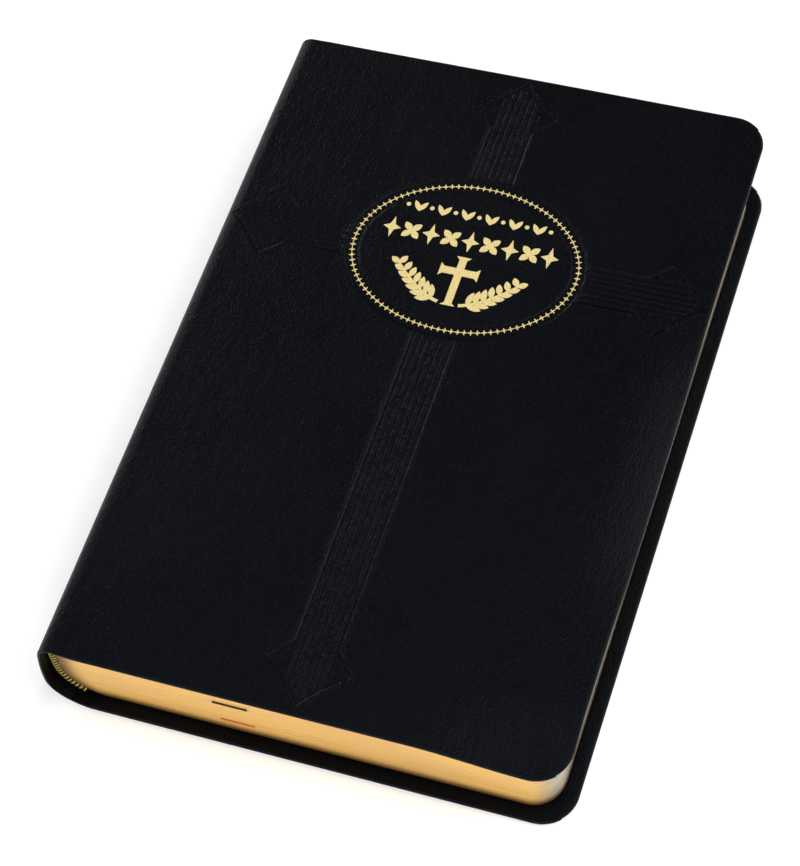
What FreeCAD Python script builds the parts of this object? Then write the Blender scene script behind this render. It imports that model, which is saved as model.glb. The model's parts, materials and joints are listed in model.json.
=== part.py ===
import FreeCAD, Part
import math
import os
import Sketcher

# Flexible-cover bible, closed and lying on its back cover.
# Frame: millimetres. Origin under the middle of the book, on the table.
# +X points from the spine to the fore-edge, +Y from the tail to the head, +Z up.

V = FreeCAD.Vector
os.makedirs("parts", exist_ok=True)
doc = FreeCAD.newDocument("bible")

# ---------------------------------------------------------------- driving dimensions (mm)
DIMENSIONS = [
    ("cover_length", 238.0, "cover, tail to head"),
    ("thickness", 33.8, "closed book, table to top"),
    ("spine_line", -78.5, "X of the line where the flat covers turn into the spine"),
    ("fore_edge", 81.0, "X of the covers' free edge"),
    ("cover_round", 11.0, "plan radius of the covers' corners"),
    ("skin_t", 0.8, "imitation leather"),
    ("board_t", 0.55, "liner board"),
    ("paste_t", 0.15, "pastedown and flyleaf paper"),
    ("cover_t", 1.5, "skin, board and pastedown together"),
    ("hinge_w", 12.0, "soft strip between spine and cover panel"),
    ("rim_w", 3.0, "turned-in rim left around the liner board"),
    ("seam", 0.15, "gap between pieces that lie side by side"),
    ("play", 0.25, "gap between pieces that move apart"),
    ("block_back", -76.8, "X of the block's spine face"),
    ("block_fore", 77.0, "X of the block's fore-edge"),
    ("block_length", 229.4, "leaf height, tail to head"),
    ("block_round", 9.5, "plan radius of the leaves' corners"),
    ("pitch", 0.9145, "section to section"),
    ("section_t", 0.875, "one sewn section, pressed"),
    ("marker_gap", 0.5, "gap held open by the lower ribbon"),
    ("opening_gap", 0.65, "gap where the block opens, with the upper ribbon in it"),
    ("ribbon_t", 0.3, "ribbon"),
    ("ribbon_w", 10.9, "ribbon's slanted width at the tail"),
]
sheet = doc.addObject("Spreadsheet::Sheet", "Sheet")
for row, (alias, value, note) in enumerate(DIMENSIONS, start=1):
    sheet.set(f"A{row}", note)
    sheet.set(f"B{row}", str(value))
    sheet.setAlias(f"B{row}", alias)
doc.recompute()
D = {alias: value for alias, value, note in DIMENSIONS}

SECTIONS_BELOW_RED = 6
SECTIONS_BETWEEN = 11
SECTIONS_ABOVE_BLACK = 14

# Block: the spine side is rounded by a large arc below and a small one above.
BLOCK_FOOT = D["cover_t"] + 2 * D["play"] + D["paste_t"]
BACK_ARC_R = 13.7
BACK_ARC_Z = 15.7
HEAD_ARC_R = 3.0
HEAD_ARC_Z = 28.65

# Spine skin: three tangent arcs between the two flat covers.
SKIN_FOOT_R = 13.0
SKIN_FOOT_X = D["spine_line"] + 10.5
SKIN_BACK_R = 90.0
SKIN_BACK_END = 10.75

parts = []


# ---------------------------------------------------------------- helpers
def plane_of(body, role):
    for item in body.Origin.OriginFeatures:
        if item.Role == role:
            return item
    raise RuntimeError(role)


def new_body(label):
    body = doc.addObject("PartDesign::Body", label)
    body.Label = label
    parts.append(body)
    return body


def new_sketch(body, role, lift=0.0):
    sketch = body.newObject("Sketcher::SketchObject", body.Name + "_sketch")
    sketch.AttachmentSupport = [(plane_of(body, role), "")]
    sketch.MapMode = "FlatFace"
    sketch.AttachmentOffset = FreeCAD.Placement(V(0, 0, lift), FreeCAD.Rotation())
    return sketch


def bind(sketch, constraint, name, expression):
    index = sketch.addConstraint(constraint)
    sketch.renameConstraint(index, name)
    sketch.setExpression("Constraints." + name, expression)


def leaf_outline(sketch, left, right, length, radius):
    """Leaf-shaped plan: square at the spine, rounded corners at the fore-edge.

    Each argument is a pair: value, expression.
    """
    xl, xr, half, r = left[0], right[0], length[0] / 2, radius[0]
    line = lambda a, b: Part.LineSegment(V(*a, 0), V(*b, 0))
    low = Part.Circle(V(xr - r, -half + r, 0), V(0, 0, 1), r)
    high = Part.Circle(V(xr - r, half - r, 0), V(0, 0, 1), r)
    sketch.addGeometry([
        line((xl, -half), (xr - r, -half)),
        Part.ArcOfCircle(low, -math.pi / 2, 0),
        line((xr, -half + r), (xr, half - r)),
        Part.ArcOfCircle(high, 0, math.pi / 2),
        line((xr - r, half), (xl, half)),
        line((xl, half), (xl, -half)),
    ], False)
    fixed = [Sketcher.Constraint("Tangent", n, 2, n + 1, 1) for n in range(4)]
    fixed.append(Sketcher.Constraint("Coincident", 4, 2, 5, 1))
    fixed.append(Sketcher.Constraint("Coincident", 5, 2, 0, 1))
    fixed.append(Sketcher.Constraint("Horizontal", 0))
    fixed.append(Sketcher.Constraint("Vertical", 2))
    fixed.append(Sketcher.Constraint("Horizontal", 4))
    fixed.append(Sketcher.Constraint("Equal", 1, 3))
    fixed.append(Sketcher.Constraint("Symmetric", 0, 1, 4, 2, -1))
    sketch.addConstraint(fixed)
    bind(sketch, Sketcher.Constraint("DistanceX", -1, 1, 0, 1, xl), "spine_side", left[1])
    bind(sketch, Sketcher.Constraint("DistanceX", -1, 1, 2, 1, xr), "fore_side", right[1])
    bind(sketch, Sketcher.Constraint("DistanceY", 0, 1, 4, 2, 2 * half), "whole", length[1])
    bind(sketch, Sketcher.Constraint("Radius", 1, r), "corner", radius[1])


def pad(body, sketch, length, expression, middle=False):
    feature = body.newObject("PartDesign::Pad", body.Name + "_pad")
    feature.Profile = sketch
    feature.Length = length
    feature.setExpression("Length", expression)
    feature.Midplane = middle
    return feature


def leaf_body(label, left, right, length, radius, height, base):
    """A flat sheet or section with leaf_outline, lying at height base."""
    body = new_body(label)
    sketch = new_sketch(body, "XY_Plane")
    leaf_outline(sketch, left, right, length, radius)
    pad(body, sketch, height[0], height[1])
    body.Placement.Base.z = base[0]
    body.setExpression("Placement.Base.z", base[1])
    return body


def arc(centre, radius, start, end):
    circle = Part.Circle(V(centre[0], centre[1], 0), V(0, 0, 1), radius)
    return Part.ArcOfCircle(circle, math.radians(start), math.radians(end))


def ring(path_out, path_in):
    """Close two open paths, which run the same way, into one outline."""
    first = [path_out[0].StartPoint, path_out[-1].EndPoint]
    second = [path_in[0].StartPoint, path_in[-1].EndPoint]
    caps = [Part.LineSegment(a, b) for a, b in zip(first, second)]
    return path_out + path_in + caps


def block_curve(offset, z_low, z_high):
    """The block's rounded spine face, moved outwards by offset, between two heights."""
    low_c = (D["block_back"] + BACK_ARC_R, BACK_ARC_Z)
    top_c = (D["block_back"] + HEAD_ARC_R, HEAD_ARC_Z)
    low = math.degrees(math.asin((BACK_ARC_Z - z_low) / BACK_ARC_R))
    top = math.degrees(math.asin((z_high - HEAD_ARC_Z) / HEAD_ARC_R))
    x = D["block_back"] - offset
    lower = arc(low_c, BACK_ARC_R + offset, 180, 180 + low)
    upper = arc(top_c, HEAD_ARC_R + offset, 180 - top, 180)
    straight = Part.LineSegment(V(x, HEAD_ARC_Z, 0), V(x, BACK_ARC_Z, 0))
    return [upper, straight, lower]


def band_body(label, offset, t, z_low, z_high, length, mid_y):
    """A curved layer on the block's spine face."""
    body = new_body(label)
    sketch = new_sketch(body, "XZ_Plane")
    outer = block_curve(offset + t, z_low, z_high)
    inner = block_curve(offset, z_low, z_high)
    sketch.addGeometry(ring(outer, inner), False)
    pad(body, sketch, length, str(length), middle=True)
    body.Placement.Base.y = mid_y[0]
    body.setExpression("Placement.Base.y", mid_y[1])
    return body


def block_back_at(z_low, z_high):
    """X of a section's folded edge: value and expression, on the rounded spine face."""
    if z_low < BACK_ARC_Z:
        r, z = BACK_ARC_R, BACK_ARC_Z - z_low
    elif z_high > HEAD_ARC_Z:
        r, z = HEAD_ARC_R, z_high - HEAD_ARC_Z
    else:
        r, z = 0.0, 0.0
    shift = r - math.sqrt(r * r - z * z)
    return D["block_back"] + shift, f"Sheet.block_back + {shift:.4f}"


# ---------------------------------------------------------------- sewn sections
block_end = (D["block_length"], "Sheet.block_length")
block_fore = (D["block_fore"], "Sheet.block_fore")
block_round = (D["block_round"], "Sheet.block_round")
section_t = (D["section_t"], "Sheet.section_t")
foot_expr = "Sheet.cover_t + 2 * Sheet.play + Sheet.paste_t"

count = SECTIONS_BELOW_RED + SECTIONS_BETWEEN + SECTIONS_ABOVE_BLACK
for n in range(count):
    base = BLOCK_FOOT + n * D["pitch"]
    expr = f"{foot_expr} + {n} * Sheet.pitch"
    if n >= SECTIONS_BELOW_RED:
        base += D["marker_gap"]
        expr += " + Sheet.marker_gap"
    if n >= SECTIONS_BELOW_RED + SECTIONS_BETWEEN:
        base += D["opening_gap"]
        expr += " + Sheet.opening_gap"
    left = block_back_at(base, base + D["section_t"])
    leaf_body(f"section_{n + 1:02d}", left, block_fore, block_end, block_round,
              section_t, (base, expr))
block_top = base + D["section_t"]

# ---------------------------------------------------------------- ribbon markers
RIBBON_HEAD_X = -71.5
RIBBON_TAIL_X = {"black_ribbon": -27.6, "red_ribbon": -26.7}
RIBBON_REACH = 115.1
RIBBON_TOP = 113.9
RIBBON_LIFT = 0.08
red_base = BLOCK_FOOT + SECTIONS_BELOW_RED * D["pitch"]
black_base = red_base + D["marker_gap"] + SECTIONS_BETWEEN * D["pitch"]
ribbons = {"red_ribbon": red_base + RIBBON_LIFT, "black_ribbon": black_base + RIBBON_LIFT}
for label, base in ribbons.items():
    body = new_body(label)
    sketch = new_sketch(body, "XY_Plane")
    tail_x = RIBBON_TAIL_X[label]
    corners = [
        (tail_x, -RIBBON_REACH),
        (tail_x + D["ribbon_w"], -RIBBON_REACH),
        (RIBBON_HEAD_X + D["ribbon_w"], RIBBON_TOP),
        (RIBBON_HEAD_X, RIBBON_TOP),
    ]
    for n in range(4):
        a, b = corners[n], corners[(n + 1) % 4]
        sketch.addGeometry(Part.LineSegment(V(*a, 0), V(*b, 0)), False)
    sketch.addConstraint([Sketcher.Constraint("Coincident", n, 2, (n + 1) % 4, 1)
                          for n in range(4)])
    sketch.addConstraint(Sketcher.Constraint("Horizontal", 0))
    sketch.addConstraint(Sketcher.Constraint("Horizontal", 2))
    sketch.addConstraint(Sketcher.Constraint("Equal", 0, 2))
    bind(sketch, Sketcher.Constraint("DistanceX", 0, 1, 0, 2, D["ribbon_w"]), "tail_width",
         "Sheet.ribbon_w")
    pad(body, sketch, D["ribbon_t"], "Sheet.ribbon_t")
    body.Placement.Base.z = base

# ---------------------------------------------------------------- block's spine linings
BAND_LOW = 6.0
BAND_HIGH = 29.8
THREAD_STATIONS = 6
THREAD_STEP = 36.0
THREAD_W = 1.0
THREAD_NEAR = 0.05
THREAD_FAR = 0.35
LINK_LOW = 20.0
LINK_HIGH = 20.5

sewing = new_body("sewing_threads")
link = new_sketch(sewing, "XZ_Plane")
x = D["block_back"]
link_corners = [(x - THREAD_FAR, LINK_LOW), (x - THREAD_NEAR, LINK_LOW),
                (x - THREAD_NEAR, LINK_HIGH), (x - THREAD_FAR, LINK_HIGH)]
for n in range(4):
    a, b = link_corners[n], link_corners[(n + 1) % 4]
    link.addGeometry(Part.LineSegment(V(*a, 0), V(*b, 0)), False)
link_length = THREAD_STEP * (THREAD_STATIONS - 1)
pad(sewing, link, link_length, str(link_length), middle=True)
stitch = new_sketch(sewing, "XZ_Plane", lift=link_length / 2)
stitch.addGeometry(ring(block_curve(THREAD_FAR, BAND_LOW, BAND_HIGH),
                        block_curve(THREAD_NEAR, BAND_LOW, BAND_HIGH)), False)
doc.recompute()
stitch_pad = sewing.newObject("PartDesign::Pad", "stitch_pad")
stitch_pad.Profile = stitch
stitch_pad.Length = THREAD_W
stitch_pad.Midplane = True
doc.recompute()
stations = sewing.newObject("PartDesign::LinearPattern", "stitch_stations")
stations.Originals = [stitch_pad]
stations.Direction = (plane_of(sewing, "XZ_Plane"), [""])
stations.Length = link_length
stations.Occurrences = THREAD_STATIONS
sewing.Tip = stations
doc.recompute()
if abs(stations.Shape.BoundBox.YMax + stations.Shape.BoundBox.YMin) > 0.5:
    stations.Reversed = True
    doc.recompute()

half_block = D["block_length"] / 2
TAPE_LENGTH = 12.0
BEAD = 2.3
BEAD_T = 1.7
BEAD_LOW = 4.6
BEAD_HIGH = 29.0
BEAD_PROUD = 0.5
BEAD_OFF = 0.1
TAPE_INSET = BEAD + 0.4 + TAPE_LENGTH / 2
MULL_OFF, MULL_T = 0.4, 0.25
PAPER_OFF, PAPER_T = 0.7, 0.2
centre = (0.0, "0")
mull_length = D["block_length"] - 2 * (BEAD + TAPE_LENGTH + 1.2)
paper_length = D["block_length"] - 2 * (BEAD + 1.0)
band_body("spine_mull", MULL_OFF, MULL_T, BAND_LOW, BAND_HIGH, mull_length, centre)
band_body("spine_paper_lining", PAPER_OFF, PAPER_T, BAND_LOW, BAND_HIGH, paper_length, centre)

# Headbands: a striped bead at each end of the spine, on a tape glued to the block.
for end, sign in (("tail", -1), ("head", 1)):
    tape_y = sign * (half_block - TAPE_INSET)
    bead_y = sign * (half_block + BEAD_PROUD - BEAD / 2)
    band_body(f"{end}band_tape", MULL_OFF, MULL_T, BAND_LOW, BAND_HIGH, TAPE_LENGTH,
              (tape_y, f"{sign} * (Sheet.block_length / 2 - {TAPE_INSET})"))
    band_body(f"{end}band_bead", BEAD_OFF, BEAD_T, BEAD_LOW, BEAD_HIGH, BEAD,
              (bead_y, f"{sign} * (Sheet.block_length / 2 + {BEAD_PROUD - BEAD / 2})"))

# ---------------------------------------------------------------- spine skin and its inlay
hinge_x = D["spine_line"] + D["hinge_w"]
back_centre = (D["spine_line"] - 2.5 + SKIN_BACK_R, SKIN_FOOT_R)
end_angle = math.radians(180 - SKIN_BACK_END)
join = (back_centre[0] + SKIN_BACK_R * math.cos(end_angle),
        back_centre[1] + SKIN_BACK_R * math.sin(end_angle))
skin_top = D["thickness"]
SKIN_TOP_R = (skin_top - join[1]) / (1 - math.sin(end_angle))
top_centre = (join[0] - SKIN_TOP_R * math.cos(end_angle),
              join[1] - SKIN_TOP_R * math.sin(end_angle))


def skin_curve(depth):
    """The spine skin's outside, moved inwards by depth: top to bottom."""
    top = skin_top - depth
    return [
        Part.LineSegment(V(hinge_x, top, 0), V(top_centre[0], top, 0)),
        arc(top_centre, SKIN_TOP_R - depth, 90, 180 - SKIN_BACK_END),
        arc(back_centre, SKIN_BACK_R - depth, 180 - SKIN_BACK_END, 180),
        arc((SKIN_FOOT_X, SKIN_FOOT_R), SKIN_FOOT_R - depth, 180, 270),
        Part.LineSegment(V(SKIN_FOOT_X, depth, 0), V(hinge_x, depth, 0)),
    ]


spine = new_body("spine_skin")
spine_sketch = new_sketch(spine, "XZ_Plane")
outer, inner = skin_curve(0.0), skin_curve(D["skin_t"])
caps = [
    Part.LineSegment(V(hinge_x, skin_top, 0), V(hinge_x, skin_top - D["skin_t"], 0)),
    Part.LineSegment(V(hinge_x, 0, 0), V(hinge_x, D["skin_t"], 0)),
]
spine_sketch.addGeometry(outer + inner + caps, False)
pad(spine, spine_sketch, D["cover_length"], "Sheet.cover_length", middle=True)

INLAY_T = 0.45
INLAY_GAP = 0.05
INLAY_FROM = 9.5
INLAY_SWEEP = 20.0
INLAY_LENGTH = 214.0
inlay = new_body("spine_inlay")
inlay_sketch = new_sketch(inlay, "XZ_Plane")
inlay_faces = []
for depth in (D["skin_t"] + INLAY_GAP, D["skin_t"] + INLAY_GAP + INLAY_T):
    inlay_faces.append([
        arc(back_centre, SKIN_BACK_R - depth, 180 - INLAY_FROM, 180),
        arc((SKIN_FOOT_X, SKIN_FOOT_R), SKIN_FOOT_R - depth, 180, 180 + INLAY_SWEEP),
    ])
start_cap = Part.LineSegment(inlay_faces[0][0].StartPoint, inlay_faces[1][0].StartPoint)
end_cap = Part.LineSegment(inlay_faces[0][1].EndPoint, inlay_faces[1][1].EndPoint)
inlay_sketch.addGeometry(inlay_faces[0] + inlay_faces[1] + [start_cap, end_cap], False)
pad(inlay, inlay_sketch, INLAY_LENGTH, str(INLAY_LENGTH), middle=True)

# ---------------------------------------------------------------- covers
BOARD_INSET = D["rim_w"] + D["seam"]
PASTE_INSET = 6.5
BOARD_SETBACK = 2.0
RECESS_PLAY = 0.5
BOARD_PLAY = 0.05
panel_x = (hinge_x + D["seam"], "Sheet.spine_line + Sheet.hinge_w + Sheet.seam")
board_x = (hinge_x + BOARD_SETBACK, f"Sheet.spine_line + Sheet.hinge_w + {BOARD_SETBACK}")
edge = (D["fore_edge"], "Sheet.fore_edge")
length = (D["cover_length"], "Sheet.cover_length")
round_r = (D["cover_round"], "Sheet.cover_round")


def inset(pair, amount):
    return pair[0] - amount, f"{pair[1]} - {amount}"


FLYLEAF_START = {"back": 15.0, "front": 5.0}
for side in ("back", "front"):
    flip = side == "front"
    turn = FreeCAD.Rotation(V(1, 0, 0), 180 if flip else 0)

    def put(body, level, name):
        """Lie at level above the cover's outer face, counted towards the block."""
        base = D["thickness"] - level if flip else level
        body.Placement = FreeCAD.Placement(V(0, 0, base), turn)
        text = f"Sheet.thickness - ({name})" if flip else name
        body.setExpression("Placement.Base.z", text)

    skin = new_body(f"{side}_cover_skin")
    outline = new_sketch(skin, "XY_Plane")
    leaf_outline(outline, panel_x, edge, length, round_r)
    pad(skin, outline, D["skin_t"] + D["board_t"], "Sheet.skin_t + Sheet.board_t")
    doc.recompute()
    whole = skin.Shape.Volume
    recess = new_sketch(skin, "XY_Plane", lift=D["skin_t"] + D["board_t"])
    rim = D["rim_w"]
    leaf_outline(recess, inset(board_x, RECESS_PLAY), inset(edge, rim), inset(length, 2 * rim),
                 inset(round_r, rim))
    pocket = skin.newObject("PartDesign::Pocket", skin.Name + "_recess")
    pocket.Profile = recess
    pocket.Length = D["board_t"]
    pocket.setExpression("Length", "Sheet.board_t")
    doc.recompute()
    if skin.Shape.Volume > 0.999 * whole:
        pocket.Reversed = True
        doc.recompute()
    put(skin, 0.0, "0")

    board = leaf_body(f"{side}_liner_board", board_x, inset(edge, BOARD_INSET),
                      inset(length, 2 * BOARD_INSET), inset(round_r, BOARD_INSET),
                      (D["board_t"] - BOARD_PLAY, f"Sheet.board_t - {BOARD_PLAY}"), (0.0, "0"))
    put(board, D["skin_t"], "Sheet.skin_t")
    paste = leaf_body(f"{side}_pastedown", board_x, inset(edge, PASTE_INSET),
                      inset(length, 2 * PASTE_INSET), inset(round_r, PASTE_INSET),
                      (D["paste_t"], "Sheet.paste_t"), (0.0, "0"))
    put(paste, D["skin_t"] + D["board_t"], "Sheet.skin_t + Sheet.board_t")
    fly_from = FLYLEAF_START[side]
    fly_x = (D["spine_line"] + fly_from, f"Sheet.spine_line + {fly_from}")
    fly = leaf_body(f"{side}_flyleaf", fly_x, block_fore, block_end, block_round,
                    (D["paste_t"], "Sheet.paste_t"), (0.0, "0"))
    put(fly, D["cover_t"] + D["play"], "Sheet.cover_t + Sheet.play")

# ---------------------------------------------------------------- check and export
doc.recompute()
bad = []
for item in doc.Objects:
    if {"Invalid", "Error"} & set(item.State):
        bad.append(item.Label)
for body in parts:
    shape = body.Shape
    if shape.isNull() or not shape.isValid() or len(shape.Solids) != 1:
        bad.append(body.Label)
        continue
    shape.exportStep(f"parts/{body.Label}.step")
if bad:
    raise RuntimeError("bad objects: " + ", ".join(sorted(set(bad))))
print("exported", len(parts), "block top", round(block_top, 3), "skin top", round(skin_top, 3))
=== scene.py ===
"""Looks for the flexible-cover bible. Lengths below are millimetres, turned into metres by MM."""
import json
import math
import random

import bmesh
import bpy
import numpy as np
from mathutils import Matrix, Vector


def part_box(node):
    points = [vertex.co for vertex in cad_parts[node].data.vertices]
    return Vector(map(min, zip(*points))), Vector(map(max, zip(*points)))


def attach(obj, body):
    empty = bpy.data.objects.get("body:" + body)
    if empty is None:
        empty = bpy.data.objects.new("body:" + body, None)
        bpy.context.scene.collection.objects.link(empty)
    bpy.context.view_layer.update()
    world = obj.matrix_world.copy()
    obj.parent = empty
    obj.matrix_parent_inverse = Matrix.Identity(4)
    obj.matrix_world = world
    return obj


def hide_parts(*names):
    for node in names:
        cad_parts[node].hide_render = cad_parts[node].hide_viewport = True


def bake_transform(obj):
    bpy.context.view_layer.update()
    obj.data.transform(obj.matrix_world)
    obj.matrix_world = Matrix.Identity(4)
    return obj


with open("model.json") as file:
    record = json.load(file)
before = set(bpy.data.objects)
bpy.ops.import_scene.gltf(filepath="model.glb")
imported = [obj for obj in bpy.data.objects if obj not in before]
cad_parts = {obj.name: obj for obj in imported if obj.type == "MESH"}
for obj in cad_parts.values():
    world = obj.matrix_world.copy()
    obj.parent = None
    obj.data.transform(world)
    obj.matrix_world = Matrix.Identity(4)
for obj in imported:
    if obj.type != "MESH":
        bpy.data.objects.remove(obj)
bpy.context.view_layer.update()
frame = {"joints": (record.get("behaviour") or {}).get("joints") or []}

MM = 0.001
SAME = 1e-4  # values closer than this are one value
TINY = 1e-9  # keeps a division off zero
JOINTS = {joint["name"]: joint for joint in frame["joints"]}


def box_mm(node):
    low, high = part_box(node)
    return np.array(low) / MM, np.array(high) / MM


# ------------------------ sizes read from the frame
cover_high = box_mm("front_cover_skin")[1]
SPINE_LINE = JOINTS["front_cover_open"]["pos_m"][0] / MM
FORE = cover_high[0]
HALF = cover_high[1]
TOP = cover_high[2]
HINGE_END = box_mm("spine_skin")[1][0]
COVER_T = 1.35
SKIN_T = 0.85
CORNER = 11.0

# Spine profile: a small arc at the top, a shallow one behind, a large one at the foot.
FOOT_R = 13.0
FOOT_X = SPINE_LINE + 10.5
BACK_R = 90.0
BACK_X = SPINE_LINE - 2.5 + BACK_R
BACK_TURN = math.radians(10.75)
JOIN = (BACK_X - BACK_R * math.cos(BACK_TURN), FOOT_R + BACK_R * math.sin(BACK_TURN))
TOP_R = (TOP - JOIN[1]) / (1 - math.sin(BACK_TURN))
TOP_X = JOIN[0] + TOP_R * math.cos(BACK_TURN)
TOP_SWEEP = math.pi / 2 - BACK_TURN
FOOT_SPLIT = math.radians(240)


# ------------------------ small helpers
def smooth(t):
    t = np.clip(t, 0.0, 1.0)
    return t * t * (3 - 2 * t)


def add_mesh(name, verts, faces, material, smooth_shading=True):
    mesh = bpy.data.meshes.new(name)
    mesh.from_pydata([tuple(p) for p in np.asarray(verts) * MM], [], faces)
    mesh.validate()
    if smooth_shading:
        mesh.polygons.foreach_set("use_smooth", [True] * len(mesh.polygons))
    mesh.update()
    obj = bpy.data.objects.new(name, mesh)
    bpy.context.scene.collection.objects.link(obj)
    mesh.materials.append(material)
    return obj


def grid_faces(nu, nv, start=0, flip=False):
    faces = []
    for i in range(nu - 1):
        for j in range(nv - 1):
            a = start + i * nv + j
            quad = (a, a + nv, a + nv + 1, a + 1)
            faces.append(quad[::-1] if flip else quad)
    return faces


def spread(low, high, step):
    """Evenly spaced values from low to high, about step apart."""
    count = max(2, int(round((high - low) / step)) + 1)
    return np.linspace(low, high, count)


def stepped(start, *runs):
    """Values from start onwards; each run gives where it ends and its step."""
    made = []
    for end, step in runs:
        made.append(spread(start, end, step))
        start = end
    return joined(*made)


def joined(*runs):
    """Runs of values joined end to end, without repeats."""
    values = np.concatenate(runs)
    keep = [values[0]]
    for value in values[1:]:
        if value - keep[-1] > SAME:
            keep.append(value)
    return np.array(keep)


# ------------------------ materials
def new_material(name, rough=0.5, metallic=0.0, specular=0.5):
    material = bpy.data.materials.new(name)
    material.use_nodes = True
    shader = material.node_tree.nodes["Principled BSDF"]
    shader.inputs["Roughness"].default_value = rough
    shader.inputs["Metallic"].default_value = metallic
    shader.inputs["Specular IOR Level"].default_value = specular
    return material, material.node_tree, shader


def node(tree, kind, inputs=None, **settings):
    made = tree.nodes.new(kind)
    for key, value in settings.items():
        setattr(made, key, value)
    for key, value in (inputs or {}).items():
        if isinstance(value, bpy.types.NodeSocket):
            tree.links.new(value, made.inputs[key])
        else:
            made.inputs[key].default_value = value
    return made


def place(tree, scale=(1, 1, 1)):
    """Object coordinates in metres, stretched by scale."""
    coords = node(tree, "ShaderNodeTexCoord")
    mapping = node(tree, "ShaderNodeMapping", {"Vector": coords.outputs["Object"], "Scale": scale})
    return mapping.outputs["Vector"]


def noise(tree, vector, scale, detail=3.0, rough=0.55):
    made = node(tree, "ShaderNodeTexNoise",
                {"Vector": vector, "Scale": scale, "Detail": detail, "Roughness": rough})
    return made.outputs["Fac"]


def ramp(tree, value, stops):
    made = node(tree, "ShaderNodeValToRGB", {"Fac": value})
    elements = made.color_ramp.elements
    while len(elements) < len(stops):
        elements.new(0.5)
    for element, (position, colour) in zip(elements, stops):
        element.position = position
        element.color = (*colour, 1) if len(colour) == 3 else colour
    return made.outputs["Color"]


def mix(tree, factor, a, b):
    made = node(tree, "ShaderNodeMix", data_type="RGBA")
    for key, value in ((0, factor), (6, a), (7, b)):
        if isinstance(value, bpy.types.NodeSocket):
            tree.links.new(value, made.inputs[key])
        elif isinstance(value, tuple):
            made.inputs[key].default_value = (*value, 1)
        else:
            made.inputs[key].default_value = value
    return made.outputs[2]


def maths(tree, kind, a, b=0.0):
    made = node(tree, "ShaderNodeMath", {0: a, 1: b}, operation=kind)
    return made.outputs[0]


def remap(tree, value, low, high):
    made = node(tree, "ShaderNodeMapRange", {"Value": value, "To Min": low, "To Max": high})
    return made.outputs["Result"]


def bump(tree, height, strength, distance, normal=None):
    inputs = {"Height": height, "Strength": strength, "Distance": distance}
    if normal is not None:
        inputs["Normal"] = normal
    return node(tree, "ShaderNodeBump", inputs).outputs["Normal"]


def leather_material():
    """Black imitation leather: fine pebble grain, soft creases, satin gloss, polished where
    the cover is pressed."""
    material, tree, shader = new_material("black_leather", rough=0.42, specular=0.11)
    shader.inputs["Specular Tint"].default_value = (0.74, 0.83, 1.0, 1)
    vector = place(tree)
    pebble = node(tree, "ShaderNodeTexVoronoi", {"Vector": vector, "Scale": 1250.0},
                  feature="SMOOTH_F1")
    pebble.inputs["Smoothness"].default_value = 0.6
    fine = noise(tree, vector, 2600.0, 4.0)
    crease = noise(tree, place(tree, (1.0, 0.45, 1.0)), 190.0, 5.0, 0.62)
    broad = noise(tree, vector, 22.0, 3.0)
    grain = maths(tree, "ADD", maths(tree, "MULTIPLY", pebble.outputs["Distance"], 0.7),
                  maths(tree, "MULTIPLY", fine, 0.35))
    pressed = node(tree, "ShaderNodeAttribute", attribute_name="polish").outputs["Fac"]
    flat = maths(tree, "SUBTRACT", 1.0, maths(tree, "MULTIPLY", pressed, 0.6))
    first = bump(tree, crease, flat, 0.00042)
    second = bump(tree, grain, 1.0, 0.00022, first)
    tree.links.new(second, shader.inputs["Normal"])
    shade = ramp(tree, broad, [(0.3, (0.0004, 0.0005, 0.0008)), (0.7, (0.0009, 0.0010, 0.0014))])
    worn = ramp(tree, fine, [(0.45, (0.0, 0.0, 0.0)), (0.8, (0.5, 0.5, 0.5))])
    tree.links.new(mix(tree, worn, shade, (0.0022, 0.0024, 0.0033)),
                   shader.inputs["Base Color"])
    gloss = remap(tree, maths(tree, "ADD", maths(tree, "MULTIPLY", broad, 0.6),
                              maths(tree, "MULTIPLY", crease, 0.4)), 0.30, 0.50)
    edge = node(tree, "ShaderNodeAttribute", attribute_name="edge_gloss").outputs["Fac"]
    tree.links.new(maths(tree, "SUBTRACT", gloss, maths(tree, "MULTIPLY", edge, 0.16)),
                   shader.inputs["Roughness"])
    return material


def foil_material():
    material, tree, shader = new_material("pale_gold_foil", rough=0.4, metallic=0.25)
    vector = place(tree)
    speckle = noise(tree, vector, 1500.0, 3.0)
    tree.links.new(ramp(tree, speckle, [(0.3, (0.66, 0.52, 0.20)), (0.7, (0.84, 0.69, 0.33))]),
                   shader.inputs["Base Color"])
    tree.links.new(remap(tree, speckle, 0.34, 0.52), shader.inputs["Roughness"])
    tree.links.new(bump(tree, speckle, 0.3, 0.00005), shader.inputs["Normal"])
    return material


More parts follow.
